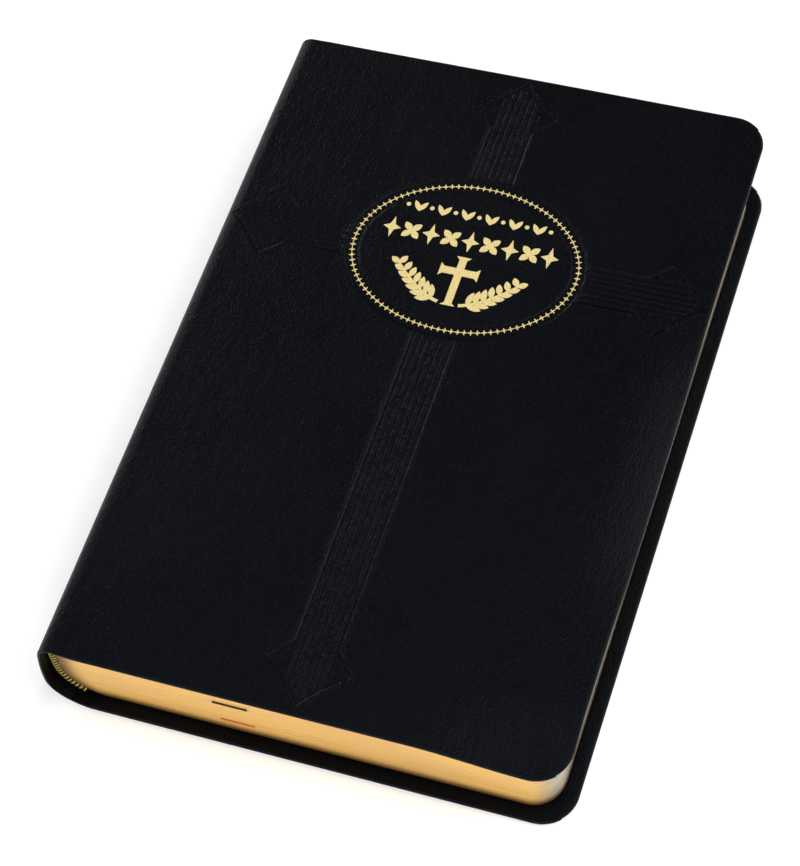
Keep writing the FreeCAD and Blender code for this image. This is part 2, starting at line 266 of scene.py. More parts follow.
def gilt_material():
    """Gilt leaf edges: faint stacked lines, orange gold at the tail and head, beige at the
    fore-edge, and painted shade that turns them brown towards the fold and the foot."""
    material, tree, shader = new_material("gilt_leaf_edges", rough=0.38)
    lines = noise(tree, place(tree, (1.0, 1.0, 260.0)), 30.0, 4.0, 0.7)
    patches = noise(tree, place(tree, (1.0, 1.0, 6.0)), 12.0, 2.0)
    normal = node(tree, "ShaderNodeTexCoord").outputs["Normal"]
    parts = node(tree, "ShaderNodeSeparateXYZ", {"Vector": normal})
    fore = maths(tree, "ABSOLUTE", parts.outputs["X"])
    level = maths(tree, "ABSOLUTE", parts.outputs["Z"])
    gold = ramp(tree, lines, [(0.25, (0.54, 0.30, 0.068)), (0.75, (0.78, 0.475, 0.135))])
    pale = ramp(tree, lines, [(0.35, (0.20, 0.17, 0.125)), (0.65, (0.58, 0.52, 0.42))])
    edge = mix(tree, ramp(tree, fore, [(0.3, (0, 0, 0)), (0.85, (1, 1, 1))]), gold, pale)
    patchy_and_shaded = mix(tree, ramp(tree, patches, [(0.5, (0, 0, 0)), (0.8, (0.45, 0.45, 0.45))]),
               edge, (0.42, 0.25, 0.10))
    # Painted shade: the "shade" number darkens the gilt to brown at the foot and near the fold,
    # where shadow falls.
    shade = node(tree, "ShaderNodeAttribute", attribute_name="shade").outputs["Fac"]
    patchy_and_shaded = mix(tree, shade, patchy_and_shaded, (0.085, 0.032, 0.004))
    paper = mix(tree, ramp(tree, level, [(0.6, (0, 0, 0)), (0.8, (1, 1, 1))]),
                patchy_and_shaded, (0.64, 0.615, 0.54))
    tree.links.new(paper, shader.inputs["Base Color"])
    metal = maths(tree, "MULTIPLY", maths(tree, "SUBTRACT", 1.0, level), 0.35)
    tree.links.new(metal, shader.inputs["Metallic"])
    tree.links.new(remap(tree, lines, 0.34, 0.5), shader.inputs["Roughness"])
    tree.links.new(bump(tree, lines, 0.3, 0.00008), shader.inputs["Normal"])
    return material


def paper_material(name, colour, darker):
    material, tree, shader = new_material(name, rough=0.85, specular=0.2)
    vector = place(tree)
    fibre = noise(tree, vector, 900.0, 5.0)
    cloud = noise(tree, vector, 35.0, 2.0)
    both = maths(tree, "ADD", maths(tree, "MULTIPLY", fibre, 0.5),
                 maths(tree, "MULTIPLY", cloud, 0.5))
    tree.links.new(ramp(tree, both, [(0.3, darker), (0.7, colour)]), shader.inputs["Base Color"])
    tree.links.new(bump(tree, fibre, 0.2, 0.00004), shader.inputs["Normal"])
    return material


def cloth_material(name, colour, darker, threads=2200.0, rough=0.7, sheen=0.3):
    """Woven cloth or ribbon: crossed fine waves."""
    material, tree, shader = new_material(name, rough=rough, specular=0.35)
    vector = place(tree)
    warp = node(tree, "ShaderNodeTexWave", {"Vector": vector, "Scale": threads * 0.16},
                bands_direction="X").outputs["Fac"]
    weft = node(tree, "ShaderNodeTexWave", {"Vector": vector, "Scale": threads * 0.16},
                bands_direction="Y").outputs["Fac"]
    weave = maths(tree, "ADD", maths(tree, "MULTIPLY", warp, 0.5),
                  maths(tree, "MULTIPLY", weft, 0.5))
    cloud = noise(tree, vector, 120.0, 3.0)
    shade = maths(tree, "ADD", maths(tree, "MULTIPLY", weave, 0.6),
                  maths(tree, "MULTIPLY", cloud, 0.4))
    tree.links.new(ramp(tree, shade, [(0.25, darker), (0.75, colour)]),
                   shader.inputs["Base Color"])
    tree.links.new(bump(tree, weave, 0.4, 0.0001), shader.inputs["Normal"])
    shader.inputs["Sheen Weight"].default_value = sheen
    return material


LEATHER = leather_material()
FOIL = foil_material()
GILT = gilt_material()
ENDPAPER = paper_material("ivory_endpaper", (0.66, 0.635, 0.56), (0.58, 0.555, 0.485))
CARD = paper_material("liner_card", (0.30, 0.28, 0.25), (0.22, 0.20, 0.18))
KRAFT = paper_material("kraft_lining", (0.42, 0.29, 0.17), (0.33, 0.22, 0.12))
MULL = cloth_material("mull_gauze", (0.74, 0.71, 0.63), (0.45, 0.42, 0.36), 900.0)
TAPE = cloth_material("band_tape", (0.66, 0.62, 0.52), (0.48, 0.44, 0.36))
THREAD = cloth_material("linen_thread", (0.80, 0.78, 0.70), (0.62, 0.60, 0.52))
BAND_DARK = cloth_material("band_black_silk", (0.012, 0.010, 0.006), (0.004, 0.003, 0.002),
                           sheen=0.0)
BAND_GOLD = cloth_material("band_olive_silk", (0.52, 0.37, 0.03), (0.34, 0.23, 0.012), sheen=0.0)
RED = cloth_material("red_satin_ribbon", (0.52, 0.19, 0.06), (0.40, 0.11, 0.03), 3000.0, 0.5, 0.0)
BLACK = cloth_material("black_satin_ribbon", (0.012, 0.011, 0.011), (0.004, 0.004, 0.004),
                       3000.0, 0.5, 0.0)


# ------------------------ pressed cross and medallion
PLAN_X, PLAN_Y = SPINE_LINE, -HALF
CROSS_X, CROSS_Y = PLAN_X + 79.3, PLAN_Y + 163.4
MEDAL_X, MEDAL_Y = PLAN_X + 79.8, PLAN_Y + 163.9
MEDAL_OUT = (38.7, 30.4)
MEDAL_CHAIN = (36.4, 27.6)
MEDAL_IN = (34.3, 25.4)
ARM_HALF = 7.25
RIB_STEP = 2.07
ARM_ENDS = {"left": 78.3, "right": 78.9, "head": 73.6, "tail": 161.4}
BARB_BACK, BARB_OUT = 13.6, 13.9
NECK_BACK = 21.3
FIELD_DEPTH = 0.25
RIB_RISE = 0.21
LIP_RISE = 0.15
CHANNEL_DEPTH = 0.26
DOME_RISE = 0.12
EDGE_RUN = 0.55


def arrow_outline(end):
    """One arm with its arrowhead, along +X from the centre: upper half, from the tip inwards."""
    tip = np.array([end, 0.0])
    barb = np.array([end - BARB_BACK, BARB_OUT])
    neck = np.array([end - NECK_BACK, ARM_HALF])
    points = []
    for t in np.linspace(0, 1, 9):
        sag = 0.9 * math.sin(math.pi * t)
        along = tip + (barb - tip) * t
        points.append(along - np.array([0.70, 0.71]) * sag * (1 - 0.3 * t))
    for t in np.linspace(0.25, 1, 4):
        points.append(barb + (neck - barb) * t)
    return points


def cross_polygon():
    turns = (("right", 0), ("head", 90), ("left", 180), ("tail", 270))
    outline = []
    for side, degrees in turns:
        upper = arrow_outline(ARM_ENDS[side])
        half = [(x, -y) for x, y in upper[::-1]] + upper[1:] + [(ARM_HALF, ARM_HALF)]
        c, s = math.cos(math.radians(degrees)), math.sin(math.radians(degrees))
        for x, y in half:
            outline.append((CROSS_X + c * x - s * y, CROSS_Y + s * x + c * y))
    return np.array(outline)


def polygon_depth(x, y, outline):
    """Distance to the outline, positive inside."""
    best = np.full(x.shape, np.inf)
    inside = np.zeros(x.shape, bool)
    for a, b in zip(outline, np.roll(outline, -1, 0)):
        d = b - a
        t = np.clip(((x - a[0]) * d[0] + (y - a[1]) * d[1]) / (d @ d), 0, 1)
        best = np.minimum(best, np.hypot(x - a[0] - t * d[0], y - a[1] - t * d[1]))
        if a[1] != b[1]:
            crosses = (a[1] > y) != (b[1] > y)
            inside ^= crosses & (x < a[0] + (y - a[1]) * d[0] / (b[1] - a[1]))
    return np.where(inside, best, -best)


def ellipse_depth(x, y, axes):
    """Distance to an ellipse round the medallion's centre, roughly, positive inside."""
    px, py = (x - MEDAL_X) / axes[0], (y - MEDAL_Y) / axes[1]
    r = np.hypot(px, py) + TINY
    slope = np.hypot(px / axes[0], py / axes[1]) / r
    return (1 - r) / np.maximum(slope, TINY)


CROSS = cross_polygon()


def rib(distance, width=0.42):
    """A rounded ridge on the line where distance is 0."""
    return np.exp(-(distance / width) ** 2)


def ribs_across(offset):
    lines = np.zeros(offset.shape)
    for n in range(-3, 3):
        lines = np.maximum(lines, rib(offset - (n + 0.5) * RIB_STEP))
    return lines


def pressing(x, y):
    """Height of the pressed pattern above the plain cover, in mm, at plan positions."""
    depth = polygon_depth(x, y, CROSS)
    medal = ellipse_depth(x, y, MEDAL_OUT)
    outside_medal = smooth((-medal - 0.4) / 0.5)
    field = smooth((depth - 0.05) / EDGE_RUN)
    lip = rib(depth + 0.25, 0.35) * LIP_RISE
    along_x = np.abs(x - CROSS_X) > np.abs(y - CROSS_Y)
    ribs = np.where(along_x, ribs_across(y - CROSS_Y), ribs_across(x - CROSS_X))
    ribs = ribs * smooth((depth - 1.1) / 0.7)
    core = np.minimum(np.abs(x - CROSS_X), np.abs(y - CROSS_Y)) < ARM_HALF
    ribs = ribs * core
    frame_line = rib(depth - 1.9, 0.35) * ~core * smooth((depth - 0.9) / 0.5)
    stud = rib(depth - 4.0, 0.5) * ~core * 0.8
    cross = outside_medal * (-FIELD_DEPTH * field + lip
                             + RIB_RISE * np.maximum(np.maximum(ribs, frame_line), stud))
    inner = ellipse_depth(x, y, MEDAL_IN)
    channel = smooth((medal + 0.15) / 0.6) * smooth((-inner + 0.15) / 0.6)
    groove = rib(medal - 0.35, 0.4) * 0.16 + rib(inner + 0.3, 0.35) * 0.12
    dome = DOME_RISE * smooth(inner / 6.0)
    lip = rib(medal + 0.45, 0.4) * LIP_RISE
    return cross - CHANNEL_DEPTH * channel - groove + dome + lip


# ------------------------ how the soft cover lies
# Droop of the fore-edge at places along it, counted from the tail, and the extra curl of the
# tail corner.
SAG_Y = np.array([0, 33, 46, 58, 73, 94, 112, 130, 144, 160, 238], float)
SAG_Z = np.array([0, 0, 0.4, 1.3, 2.6, 2.9, 3.1, 2.2, 1.2, 0.2, 0])
CURL = 2.9
SAG_FROM = 141.0


def soft_interp(x, xs, ys):
    """Linear interpolation with rounded corners."""
    reach = 6.0
    return sum(np.interp(x + k * reach / 3, xs, ys) for k in range(-3, 4)) / 7


def sag(x, y):
    """How far the front cover droops at a plan position, in mm."""
    along = np.clip((x - PLAN_X - SAG_FROM) / (FORE - PLAN_X - SAG_FROM), 0, 1.02)
    reach = soft_interp(y - PLAN_Y, SAG_Y, SAG_Z)
    curl = CURL * smooth((x - PLAN_X - 114) / 36) * smooth((24 - (y - PLAN_Y)) / 24)
    return reach * along ** 2.2 + curl


def slack(x, y):
    """Faint unevenness of a soft cover."""
    u, v = (x - PLAN_X) / 160, (y - PLAN_Y) / 238
    wave = 0.06 * np.sin(5.1 * v + 2.0 * u) + 0.05 * np.sin(9.0 * u - 4.0 * v + 1.0)
    ripple = 0.07 * np.sin(26 * v + 9 * u) * np.sin(17 * u + 3) * smooth((u - 0.66) / 0.25)
    return wave + ripple


# ------------------------ cover wrap
def front_profile(q):
    """Outside of the front cover and the spine's top arc, unrolled: x, z, along, outwards."""
    a = np.maximum((TOP_X - q) / TOP_R, 0)
    x = np.where(q > TOP_X, q, TOP_X - TOP_R * np.sin(a))
    z = TOP - TOP_R + TOP_R * np.cos(a)
    return x, z, (np.cos(a), np.sin(a)), (-np.sin(a), np.cos(a))


def back_profile(q):
    a = np.maximum((FOOT_X - q) / FOOT_R, 0)
    x = np.where(q > FOOT_X, q, FOOT_X - FOOT_R * np.sin(a))
    z = FOOT_R - FOOT_R * np.cos(a)
    return x, z, (np.cos(a), -np.sin(a)), (-np.sin(a), -np.cos(a))


BACK_RUN = BACK_R * BACK_TURN
FOOT_RUN = FOOT_R * (FOOT_SPLIT - math.pi)


def spine_profile(q):
    """From the top arc's end (q = 0) down to the foot."""
    b = BACK_TURN - np.clip(q, 0, BACK_RUN) / BACK_R
    c = np.clip(q - BACK_RUN, 0, FOOT_RUN) / FOOT_R
    low = q > BACK_RUN
    x = np.where(low, FOOT_X - FOOT_R * np.cos(c), BACK_X - BACK_R * np.cos(b))
    z = np.where(low, FOOT_R - FOOT_R * np.sin(c), FOOT_R + BACK_R * np.sin(b))
    nx = np.where(low, -np.cos(c), -np.cos(b))
    nz = np.where(low, -np.sin(c), np.sin(b))
    return x, z, (-nz, nx), (nx, nz)


RIM_STEPS = 7
PLEATS, PLEAT_RISE, PLEAT_AT, PLEAT_W = 9, 0.14, 2.6, 1.5
EDGE_SLOPE = 0.22


def store(obj, name, values):
    """A number at each point of a mesh, which its material reads."""
    made = obj.data.attributes.new(name, "FLOAT", "POINT")
    made.data.foreach_set("value", values.astype(np.float32))


def some_of(count, every):
    return list(range(0, count - 1, every)) + [count - 1]


def wrap_shell(name, qs, ys, profile, thickness, material, rounded=True, height=None,
               droop=None, every=1):
    """One stretch of the cover wrap as a closed shell: outside, rolled edges, turned-in inside.
    height is the pressed pattern, droop how the sheet hangs, and every how coarse its inside."""
    nq, ny = len(qs), len(ys)
    q, y = np.meshgrid(qs, ys, indexing="ij")
    bq, by = np.zeros(q.shape), np.zeros(q.shape)
    by[:, 0], by[:, -1] = -1, 1
    pleat = np.zeros(q.shape)
    if rounded:
        bq[-1, :], by[-1, :] = 1, 0
        radius = qs[-1] - (FORE - CORNER)
        a = (q - (FORE - CORNER)) / radius
        b = (np.abs(y) - (HALF - CORNER)) / radius
        corner = (a > 0) & (b > 0)
        scale = np.maximum(a, b) / np.maximum(np.hypot(a, b), TINY)
        side = np.sign(y)
        q = np.where(corner, FORE - CORNER + radius * a * scale, q)
        y = np.where(corner, side * (HALF - CORNER + radius * b * scale), y)
        reach = np.maximum(np.hypot(a, b), TINY)
        edge = np.zeros(q.shape, bool)
        edge[-1, :] = edge[:, 0] = edge[:, -1] = True
        depth = radius * (1 - np.maximum(a, b))
        turn = np.arctan2(b, a)
        pleat = np.where(corner, np.maximum(np.cos(2 * PLEATS * turn), 0) * np.sin(2 * turn)
                         * np.exp(-((depth - PLEAT_AT) / PLEAT_W) ** 2) * PLEAT_RISE, 0)
        bq = np.where(corner & edge, a / reach, bq)
        by = np.where(corner & edge, side * b / reach, by)
    x, z, along, out = profile(q)
    rise = height(q, y) if height else 0.0
    grid = np.stack([x + out[0] * rise, y, z + out[1] * rise], -1)
    t = thickness(q)

    def ring(values):
        values = np.asarray(values) if not isinstance(values, tuple) else np.stack(values, -1)
        return np.concatenate([values[:, 0], values[-1, 1:], values[-2::-1, -1],
                               values[0, -2:0:-1]])

    base = ring(np.stack([x, y, z], -1))
    lift = ring(grid) - base
    normal = np.stack([ring(out[0]), np.zeros(len(base)), ring(out[1])], -1)
    outer = ring(bq)[:, None] * np.stack([ring(along[0]), np.zeros(len(base)), ring(along[1])], -1)
    outer = outer + ring(by)[:, None] * np.array([0, 1.0, 0])
    half_t = ring(t)[:, None] / 2
    loops = []
    for k in range(1, RIM_STEPS + 1):
        phi = math.pi * k / RIM_STEPS
        fade = (1 + math.cos(phi)) / 2
        loops.append(base + lift * fade + outer * half_t * math.sin(phi)
                     - normal * half_t * (1 - math.cos(phi)))
    verts = [grid.reshape(-1, 3)] + loops
    faces = grid_faces(nq, ny)
    index = np.arange(nq * ny).reshape(nq, ny)
    outline = ring(index[..., None])[:, 0]
    count = len(outline)
    previous = outline
    for k in range(RIM_STEPS):
        current = nq * ny + k * count + np.arange(count)
        for m in range(count):
            o = (m + 1) % count
            faces.append((previous[m], current[m], current[o], previous[o]))
        previous = current
    inside = np.full(nq * ny, -1)
    inside[outline] = previous
    inside = inside.reshape(nq, ny)
    rows, columns = some_of(nq, every), some_of(ny, every)
    picked = [(i, j) for i in rows[1:-1] for j in columns[1:-1]]
    first = nq * ny + RIM_STEPS * count
    lining = []
    for n, (i, j) in enumerate(picked):
        inside[i, j] = first + n
        down = t[i, j] + pleat[i, j]
        lining.append((x[i, j] - out[0][i, j] * down, y[i, j], z[i, j] - out[1][i, j] * down))
    verts.append(np.array(lining))
    for i0, i1 in zip(rows[:-1], rows[1:]):
        for j0, j1 in zip(columns[:-1], columns[1:]):
            cell = [(i, j0) for i in (range(i0, i1) if j0 == 0 else (i0,))]
            cell += [(i1, j) for j in (range(j0, j1) if i1 == nq - 1 else (j0,))]
            cell += [(i, j1) for i in (range(i1, i0, -1) if j1 == ny - 1 else (i1,))]
            cell += [(i0, j) for j in (range(j1, j0, -1) if i0 == 0 else (j1,))]
            faces.append(tuple(inside[i, j] for i, j in cell))
    verts = np.concatenate(verts)
    if droop:
        verts[:, 2] += droop(verts[:, 0], verts[:, 1])
    obj = add_mesh(name, verts, [tuple(int(v) for v in f) for f in faces], material)
    outward(obj)
    polish, edge_gloss = np.zeros(len(verts)), np.zeros(len(verts))
    if height:
        polish[:q.size] = smooth(-(rise - 0.02).ravel() / 0.12)
        slope = np.hypot(*np.gradient(rise, qs, ys))
        edge_gloss[:q.size] = smooth((slope.ravel() - EDGE_SLOPE) / EDGE_SLOPE)
    store(obj, "polish", polish)
    store(obj, "edge_gloss", edge_gloss)
    return obj


def outward(obj):
    """Point all faces outwards."""
    edit = bmesh.new()
    edit.from_mesh(obj.data)
    bmesh.ops.recalc_face_normals(edit, faces=edit.faces)
    edit.to_mesh(obj.data)
    edit.free()


def wall(q):
    return SKIN_T + (COVER_T - SKIN_T) * smooth((q - TOP_X) / (HINGE_END - TOP_X))


def plain_wall(q):
    return np.full(np.shape(q), SKIN_T)


def front_droop(x, y):
    return slack(x, y) * smooth((x - PLAN_X) / 20) - sag(x, y)


EDGE_R = COVER_T / 2
LAP = 0.3
front_start = TOP_X - TOP_R * TOP_SWEEP - LAP
END = HALF - SKIN_T / 2
# Fine steps cross the pressed pattern and the corners, and coarse ones the plain stretches.
front_qs = stepped(front_start, (PLAN_X + 24, 0.62), (PLAN_X + 40, 2.0), (PLAN_X + 71, 0.5),
                   (PLAN_X + 87.5, 0.3), (PLAN_X + 119, 0.5), (PLAN_X + 134, 2.0),
                   (FORE - EDGE_R, 0.62))
front_ys = stepped(-END, (PLAN_Y + 28, 0.6), (PLAN_Y + 132, 3.0), (PLAN_Y + 155.5, 0.5),
                   (PLAN_Y + 171.5, 0.3), (PLAN_Y + 196, 0.5), (PLAN_Y + 211, 2.0), (END, 0.6))
plain_ys = spread(-END, END, 3.0)

front_leather = wrap_shell("front_cover_leather", front_qs, front_ys, front_profile, wall,
                           LEATHER, height=pressing, droop=front_droop, every=5)
back_start = FOOT_X - FOOT_R * math.pi / 6 - LAP
back_qs = stepped(back_start, (PLAN_X + 24, 1.0), (FORE - 24, 4.0), (FORE - EDGE_R, 0.8))
back_ys = stepped(-END, (-HALF + 24, 0.8), (HALF - 24, 4.0), (END, 0.8))
back_leather = wrap_shell("back_cover_leather", back_qs, back_ys, back_profile, wall, LEATHER)
spine_leather = wrap_shell("spine_leather", spread(0, BACK_RUN + FOOT_RUN, 0.6), plain_ys,
                           spine_profile, plain_wall, LEATHER, rounded=False)
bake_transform(front_leather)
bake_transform(back_leather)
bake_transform(spine_leather)
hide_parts("front_cover_skin", "front_liner_board")
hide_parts("back_cover_skin", "back_liner_board")
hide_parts("spine_skin")


# ------------------------ sheets of paper
def slab(name, x0, x1, half, corner, z0, z1, material, droop=None):
    """A thin closed sheet, square at the spine and rounded at the fore-edge."""
    xs = stepped(x0, (x1 - 20, 4.0), (x1, 1.0))
    ys = stepped(-half, (-half + 14, 1.0), (half - 14, 4.0), (half, 1.0))
    x, y = np.meshgrid(xs, ys, indexing="ij")
    a, b = (x - (x1 - corner)) / corner, (np.abs(y) - (half - corner)) / corner
    zone = (a > 0) & (b > 0)
    scale = np.maximum(a, b) / np.maximum(np.hypot(a, b), TINY)
    x = np.where(zone, x1 - corner + corner * a * scale, x)
    y = np.where(zone, np.sign(y) * (half - corner + corner * b * scale), y)
    low = np.stack([x, y, np.full(x.shape, z0)], -1).reshape(-1, 3)
    high = np.stack([x, y, np.full(x.shape, z1)], -1).reshape(-1, 3)
    nx, ny = len(xs), len(ys)
    faces = grid_faces(nx, ny) + grid_faces(nx, ny, nx * ny, flip=True)
    index = np.arange(nx * ny).reshape(nx, ny)
    outline = np.concatenate([index[:, 0], index[-1, 1:], index[-2::-1, -1], index[0, -2:0:-1]])
    for m, a in enumerate(outline):
        b = outline[(m + 1) % len(outline)]
        faces.append((int(a), int(b), int(b) + nx * ny, int(a) + nx * ny))
    verts = np.concatenate([low, high])
    if droop:
        verts[:, 2] += droop(verts[:, 0], verts[:, 1])
    obj = add_mesh(name, verts, faces, material, smooth_shading=False)
    outward(obj)
    return obj


def paper_piece(node_name, body, corner, material, droop=None, thicken=(0.0, 0.0), trim=0.0):
    low, high = box_mm(node_name)
    piece = slab(node_name + "_sheet", low[0], high[0] - trim, high[1] - trim, corner,
                 low[2] - thicken[0], high[2] + thicken[1], material, droop)
    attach(piece, body)
    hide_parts(node_name)
    return piece


def sag_only(x, y):
    return -sag(x, y)


paper_piece("front_pastedown", "front_cover", 4.5, ENDPAPER, front_droop, thicken=(0.0, 0.2))
paper_piece("back_pastedown", "back_cover", 4.5, ENDPAPER, thicken=(0.2, 0.0))
# The flyleaves' gilt edges get painted shade, as they lie in shadow under the leaf block.
for side, droop in (("front", sag_only), ("back", None)):
    piece = paper_piece(side + "_flyleaf", side + "_flyleaf", 9.5, GILT, droop, trim=0.7)
    store(piece, "shade", np.full(len(piece.data.vertices), 0.85))


# ------------------------ leaf blocks
BLOCK_LOW, BLOCK_HIGH = box_mm("section_01"), box_mm("section_31")
BLOCK_BACK = box_mm("section_16")[0][0]
BLOCK_FORE = BLOCK_HIGH[1][0]
BLOCK_HALF = BLOCK_HIGH[1][1]
BLOCK_CORNER = 9.5
FORE_LEAN = 0.6
LEAF_STEP = 2.5
BACK_ARC_R, BACK_ARC_Z = 13.7, 15.7
HEAD_ARC_R, HEAD_ARC_Z = 3.0, 28.65
OPEN_LEVEL = box_mm("section_17")[1][2]
RED_LEVEL = box_mm("red_ribbon")[0][2]
# Painted shade on the gilt: how far it reaches up from the foot and in from the fold, in mm, and
# its strongest share.
FOOT_SHADE, FOLD_SHADE, SHADE_MOST = 4.6, 7.0, 0.97
LOWER = [f"section_{n:02d}" for n in range(1, 18)]
UPPER = [f"section_{n:02d}" for n in range(18, 32)]


def block_back(z):
    low, high = max(BACK_ARC_Z - z, 0.0), max(z - HEAD_ARC_Z, 0.0)
    inset = BACK_ARC_R - math.sqrt(max(BACK_ARC_R ** 2 - low ** 2, 0.0))
    inset += HEAD_ARC_R - math.sqrt(max(HEAD_ARC_R ** 2 - min(high, HEAD_ARC_R) ** 2, 0.0))
    return BLOCK_BACK + inset


def leaf_path(x0):
    """Points round a leaf that starts at x0, with their outward directions."""
    cx, cy = BLOCK_FORE - BLOCK_CORNER, BLOCK_HALF - BLOCK_CORNER
    points, dirs = [], []

    def straight(line, direction):
        points.extend(line)
        dirs.extend([direction] * len(line))

    def corner(y, start):
        for a in np.radians(np.linspace(start, start + 90, 14)[1:-1]):
            points.append((cx + BLOCK_CORNER * math.cos(a), y + BLOCK_CORNER * math.sin(a)))
            dirs.append((math.cos(a), math.sin(a)))

    straight([(x, -BLOCK_HALF) for x in spread(x0, cx, LEAF_STEP)], (0, -1))
    corner(-cy, -90)
    straight([(BLOCK_FORE, y) for y in spread(-cy, cy, 3.0)], (1, 0))
    corner(cy, 0)
    straight([(x, BLOCK_HALF) for x in spread(x0, cx, LEAF_STEP)[::-1]], (0, 1))
    return np.array(points), np.array(dirs)


def leaf_block(name, z_low, z_high, body, nodes, gaps, seed, low_lift=None):
    """The gilt stack of leaves between two levels, with fine uneven rows."""
    rng = random.Random(seed)
    zs = spread(z_low, z_high, 0.3)
    first, dirs = leaf_path(BLOCK_BACK)
    count = len(first)
    straight_end = BLOCK_FORE - BLOCK_CORNER
    share = (first[:, 0] - BLOCK_BACK) / (straight_end - BLOCK_BACK)
    verts = []
    for row, z in enumerate(zs):
        back = block_back(z)
        x = np.where(first[:, 0] < straight_end, back + share * (straight_end - back), first[:, 0])
        inset = rng.uniform(0.0, 0.012) + rng.uniform(0.0, 0.10) * np.maximum(dirs[:, 0], 0)
        inset = inset + FORE_LEAN * np.maximum(dirs[:, 0], 0) * (TOP - z) / TOP
        for gap in gaps:
            inset = inset + 0.06 * math.exp(-((z - gap) / 0.28) ** 2)
        wander = 0.014 * np.sin(0.09 * first[:, 0] + 0.05 * first[:, 1] + 0.7 * row)
        out = -(inset + 0.06 + wander)
        verts.append(np.stack([x + dirs[:, 0] * out, first[:, 1] + dirs[:, 1] * out,
                               np.full(count, z)], -1))
    faces = []
    for r in range(len(zs) - 1):
        for m in range(count):
            o = (m + 1) % count
            a, b = r * count, (r + 1) * count
            faces.append((a + m, a + o, b + o, b + m))
    verts = np.concatenate(verts)
    n_tail = len(spread(BLOCK_BACK, straight_end, LEAF_STEP))
    for start in (0, (len(zs) - 1) * count):
        ladder = []
        for m in range(n_tail - 1):
            far = count - 1 - m
            ladder.append((start + m, start + m + 1, start + far - 1, start + far))
        middle = list(range(start + n_tail - 1, start + count - n_tail + 1))
        faces += ladder + [tuple(middle)]
    # Painted shade: the gilt is darkened towards the foot of the block and towards the fold at the
    # spine, where shadow falls.
    fold = np.repeat([block_back(z) for z in zs], count)
    foot = smooth(1 - (verts[:, 2] - BLOCK_LOW[0][2]) / FOOT_SHADE)
    shade = np.maximum(foot, smooth(1 - (verts[:, 0] - fold) / FOLD_SHADE)) * SHADE_MOST
    if low_lift:
        lift = low_lift(verts[:, 0], verts[:, 1])
        near_low = np.clip(1 - (verts[:, 2] - z_low) / 1.5, 0, 1)
        verts[:, 2] += lift * near_low
    press = np.clip((verts[:, 2] - OPEN_LEVEL) / (BLOCK_HIGH[1][2] - OPEN_LEVEL), 0, 1)
    verts[:, 2] -= sag(verts[:, 0], verts[:, 1]) * press
    obj = add_mesh(name, verts, faces, GILT, smooth_shading=False)
    outward(obj)
    store(obj, "shade", shade)
    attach(obj, body)
    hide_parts(*nodes)
    return obj


MARK_X = box_mm("black_ribbon")[1][0] - 5.4
MARK_LIFT, MARK_SPREAD, MARK_END = 0.42, 9, -60


def ribbon_room(x, y):
    """How far the upper leaves lift over the black ribbon, near the tail."""
    return MARK_LIFT * np.exp(-((x - MARK_X) / MARK_SPREAD) ** 2) * (y < MARK_END)


leaf_block("lower_leaves", BLOCK_LOW[0][2], OPEN_LEVEL, "lower_block", LOWER,
           [RED_LEVEL + 0.15], seed=3)
leaf_block("upper_leaves", OPEN_LEVEL + 0.08, BLOCK_HIGH[1][2], "upper_block", UPPER, [], seed=8,
           low_lift=ribbon_room)


# ------------------------ spine linings and headbands
def block_curve(offset, z_low, z_high, step=0.5):
    """Points down the rounded spine face, moved outwards, with outward directions."""
    points, outs = [], []
    r = HEAD_ARC_R + offset
    top = math.asin(min((z_high - HEAD_ARC_Z) / HEAD_ARC_R, 1.0)) if z_high > HEAD_ARC_Z else 0.0
    for a in np.linspace(top, 0, 5)[:-1] if top > 0 else []:
        points.append((BLOCK_BACK + HEAD_ARC_R - r * math.cos(a), HEAD_ARC_Z + r * math.sin(a)))
        outs.append((-math.cos(a), math.sin(a)))
    for z in spread(BACK_ARC_Z, min(z_high, HEAD_ARC_Z), step)[::-1]:
        points.append((BLOCK_BACK - offset, z))
        outs.append((-1.0, 0.0))
    r = BACK_ARC_R + offset
    foot = math.asin((BACK_ARC_Z - z_low) / BACK_ARC_R)
    for a in np.linspace(0, foot, int(BACK_ARC_R * foot / step) + 1)[1:]:
        points.append((BLOCK_BACK + BACK_ARC_R - r * math.cos(a), BACK_ARC_Z - r * math.sin(a)))
        outs.append((-math.cos(a), -math.sin(a)))
    return np.array(points), np.array(outs)


def curved_layer(name, outer, outs, t, y_low, y_high, material):
    """A thin layer along a profile, from one end of the book towards the other."""
    inner = outer - outs * t
    count = len(outer)
    verts = []
    for y in (y_low, y_high):
        for line in (outer, inner):
            verts.append(np.stack([line[:, 0], np.full(count, y), line[:, 1]], -1))
    faces = []
    for m in range(count - 1):
        for a, b in ((0, 2), (3, 1), (1, 0), (2, 3)):
            faces.append((a * count + m, a * count + m + 1, b * count + m + 1, b * count + m))
    for m in (0, count - 1):
        faces.append((m, count + m, 3 * count + m, 2 * count + m))
    obj = add_mesh(name, np.concatenate(verts), faces, material)
    obj.data.set_sharp_from_angle(angle=math.radians(50))
    outward(obj)
    return obj


def spine_band(name, offset, t, z_low, z_high, y_low, y_high, material):
    """A layer on the block's spine face."""
    outer, outs = block_curve(offset + t, z_low, z_high)
    return curved_layer(name, outer, outs, t, y_low, y_high, material)


def open_blend(piece, node_name):
    """Bake a spine layer's placement into its mesh, in place of its CAD node, which is hidden."""
    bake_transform(piece)
    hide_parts(node_name)


BAND_LOW, BAND_HIGH = 6.0, 29.8


def band_like(node_name, material, offset, t):
    low, high = box_mm(node_name)
    piece = spine_band(node_name + "_layer", offset, t, BAND_LOW, BAND_HIGH, low[1], high[1],
                       material)
    open_blend(piece, node_name)


